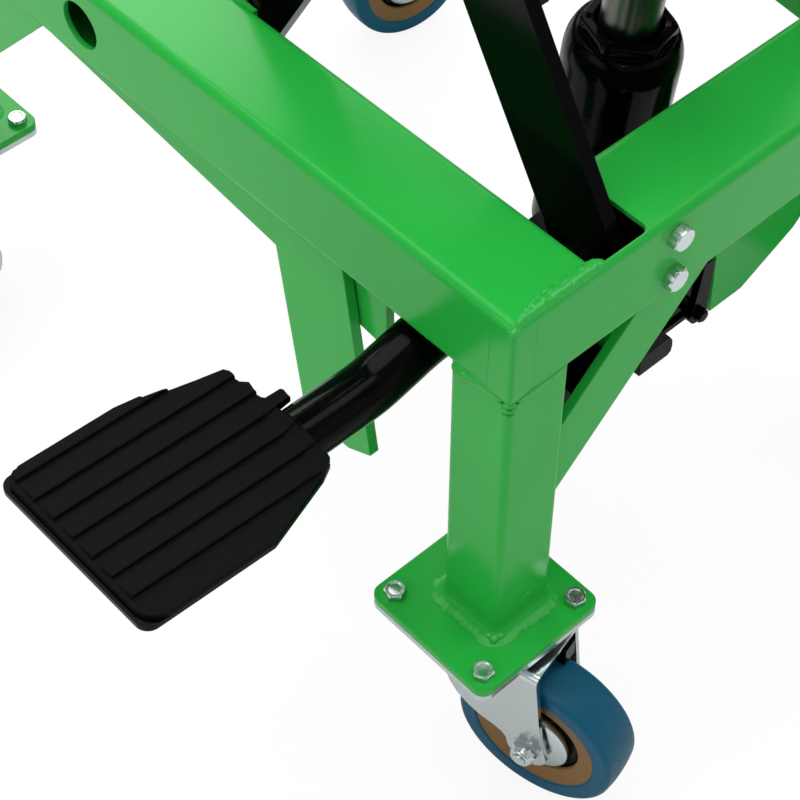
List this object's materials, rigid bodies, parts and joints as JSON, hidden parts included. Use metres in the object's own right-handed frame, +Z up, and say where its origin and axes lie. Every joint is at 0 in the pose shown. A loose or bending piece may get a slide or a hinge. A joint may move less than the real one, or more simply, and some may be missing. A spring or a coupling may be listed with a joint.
{
  "type": "motorcycle scissor jack",
  "caption": "Hydraulic scissor lift on a wheeled steel stand, with a foot pump pedal, crossed lifting arms and swivel casters",
  "frame": {"origin": "under the middle of the bounding box, on the floor", "axes": "+Z up, +Y along the machine from the pump end to the back, +X across it, away from the pedal"},
  "size_m": [0.6517, 0.6432, 0.7908],
  "materials": {
    "frame_green": "gloss powder coat over steel",
    "black_enamel": "gloss black paint over steel",
    "zinc_plated": "bright zinc plate",
    "ground_steel": "ground and polished rod",
    "rubber_black": "matt moulded rubber",
    "tyre_blue": "elastic rubber tread, satin",
    "hub_tan": "moulded nylon, satin"
  },
  "bodies": {
    "base": {"front_rail": "frame_green", "rear_rail": "frame_green", "left_rail": "frame_green", "right_rail": "frame_green", "legs": "frame_green", "foot_plates": "frame_green", "leg_braces": "frame_green", "side_gussets": "frame_green", "jack_hanger_front": "frame_green", "tray_ribs": "frame_green", "jack_tray": "black_enamel", "pedal_guard": "frame_green", "pivot_brackets": "black_enamel", "pivot_bolts": "zinc_plated", "pivot_pins": "zinc_plated", "roller_tracks": "frame_green", "caster_plates": "zinc_plated", "caster_bolts": "zinc_plated", "pump_block": "black_enamel", "pedal_riser": "black_enamel"},
    "inner_arms": {"inner_arm_left": "black_enamel", "inner_arm_right": "black_enamel", "lift_bar": "black_enamel", "mid_shaft": "zinc_plated"},
    "upper_rollers": {"upper_rollers": "zinc_plated"},
    "outer_arms": {"outer_arm_left": "black_enamel", "outer_arm_right": "black_enamel", "outer_cross_tube": "black_enamel"},
    "lower_rollers": {"lower_rollers": "zinc_plated"},
    "deck": {"deck_channels": "frame_green", "deck_plate": "frame_green", "deck_pads": "rubber_black", "deck_pins": "zinc_plated"},
    "jack_cylinder": {"jack_body": "black_enamel", "jack_gland": "black_enamel"},
    "jack_piston": {"jack_ram": "ground_steel", "ram_saddle": "black_enamel"},
    "pedal": {"pedal_tube": "black_enamel", "pedal_plate": "black_enamel", "pedal_pad": "rubber_black"},
    "plunger": {"pump_plunger": "ground_steel", "pump_spring": "zinc_plated"},
    "release": {"release_lever": "black_enamel"},
    "caster_front_left": {"fork_front_left": "zinc_plated"},
    "wheel_front_left": {"tyre_front_left": "tyre_blue", "hub_front_left": "hub_tan"},
    "brake_front_left": {"brake_front_left": "black_enamel"},
    "caster_front_right": {"fork_front_right": "zinc_plated"},
    "wheel_front_right": {"tyre_front_right": "tyre_blue", "hub_front_right": "hub_tan"},
    "brake_front_right": {"brake_front_right": "black_enamel"},
    "caster_rear_left": {"fork_rear_left": "zinc_plated"},
    "wheel_rear_left": {"tyre_rear_left": "tyre_blue", "hub_rear_left": "hub_tan"},
    "caster_rear_right": {"fork_rear_right": "zinc_plated"},
    "wheel_rear_right": {"tyre_rear_right": "tyre_blue", "hub_rear_right": "hub_tan"}
  },
  "joints": [
    {"name": "scissor_lift", "type": "hinge", "parent": "base", "child": "inner_arms", "pos_m": [0.05605, -0.22286, 0.3525], "axis": [1, 0, 0], "range_deg": [-50.8, 0]},
    {"name": "scissor_cross", "type": "hinge", "parent": "inner_arms", "child": "outer_arms", "pos_m": [0.05605, -0.10267, 0.55095], "axis": [1, 0, 0], "range_deg": [-1, 102]},
    {"name": "deck_level", "type": "hinge", "parent": "outer_arms", "child": "deck", "pos_m": [0.05605, -0.22286, 0.74939], "axis": [1, 0, 0], "range_deg": [-51, 1]},
    {"name": "upper_roller_spin", "type": "hinge", "parent": "inner_arms", "child": "upper_rollers", "pos_m": [0.05605, 0.01751, 0.74939], "axis": [1, 0, 0], "continuous": true},
    {"name": "lower_roller_spin", "type": "hinge", "parent": "outer_arms", "child": "lower_rollers", "pos_m": [0.05605, 0.01751, 0.3525], "axis": [1, 0, 0], "continuous": true},
    {"name": "jack_tilt", "type": "hinge", "parent": "base", "child": "jack_cylinder", "pos_m": [0.05605, -0.12176, 0.21], "axis": [1, 0, 0], "range_deg": [-25.6, 0.1]},
    {"name": "ram_stroke", "type": "slide", "parent": "jack_cylinder", "child": "jack_piston", "axis": [0, -0.1045, 0.9945], "range_m": [-0.104, 0.0005]},
    {"name": "pedal_press", "type": "hinge", "parent": "base", "child": "pedal", "pos_m": [0.01605, -0.17536, 0.317], "axis": [0, -1, 0], "range_deg": [0, 22], "stiffness_Nm_per_rad": 3, "springref_deg": -57.3},
    {"name": "plunger_stroke", "type": "slide", "parent": "base", "child": "plunger", "axis": [0, 0, -1], "range_m": [-0.0002, 0.0126], "deforming": ["pump_spring"]},
    {"name": "release_turn", "type": "hinge", "parent": "base", "child": "release", "pos_m": [0.06305, -0.19536, 0.207], "axis": [0, 1, 0], "range_deg": [-20, 30]},
    {"name": "swivel_front_left", "type": "hinge", "parent": "base", "child": "caster_front_left", "pos_m": [-0.11995, -0.22836, 0.11], "axis": [0, 0, 1], "continuous": true},
    {"name": "roll_front_left", "type": "hinge", "parent": "caster_front_left", "child": "wheel_front_left", "pos_m": [-0.1093, -0.27105, 0.05], "axis": [0.9703, 0.2419, 0], "continuous": true},
    {"name": "brake_lift_front_left", "type": "hinge", "parent": "caster_front_left", "child": "brake_front_left", "pos_m": [-0.1122, -0.25941, 0.1116], "axis": [0.9703, 0.2419, 0], "range_deg": [-12, 0]},
    {"name": "swivel_front_right", "type": "hinge", "parent": "base", "child": "caster_front_right", "pos_m": [0.23205, -0.22836, 0.11], "axis": [0, 0, 1], "continuous": true},
    {"name": "roll_front_right", "type": "hinge", "parent": "caster_front_right", "child": "wheel_front_right", "pos_m": [0.25405, -0.26646, 0.05], "axis": [0.866, 0.5, 0], "continuous": true},
    {"name": "brake_lift_front_right", "type": "hinge", "parent": "caster_front_right", "child": "brake_front_right", "pos_m": [0.24805, -0.25607, 0.1116], "axis": [0.866, 0.5, 0], "range_deg": [-12, 0]},
    {"name": "swivel_rear_left", "type": "hinge", "parent": "base", "child": "caster_rear_left", "pos_m": [-0.11995, 0.27764, 0.11], "axis": [0, 0, 1], "continuous": true},
    {"name": "roll_rear_left", "type": "hinge", "parent": "caster_rear_left", "child": "wheel_rear_left", "pos_m": [-0.14939, 0.24494, 0.05], "axis": [0.7431, -0.6691, 0], "continuous": true},
    {"name": "swivel_rear_right", "type": "hinge", "parent": "base", "child": "caster_rear_right", "pos_m": [0.23205, 0.27764, 0.11], "axis": [0, 0, 1], "continuous": true},
    {"name": "roll_rear_right", "type": "hinge", "parent": "caster_rear_right", "child": "wheel_rear_right", "pos_m": [0.27539, 0.27, 0.05], "axis": [0.1736, 0.9848, 0], "continuous": true}
  ],
  "couplings": [
    {"joint": "scissor_cross", "follows": "scissor_lift", "ratio": -2},
    {"joint": "deck_level", "follows": "scissor_lift", "ratio": 1},
    {"joint": "jack_tilt", "follows": "scissor_lift", "ratio": 0.502},
    {"joint": "ram_stroke", "follows": "scissor_lift", "m_per_rad": 0.1162},
    {"joint": "plunger_stroke", "follows": "pedal_press", "m_per_rad": 0.032}
  ]
}
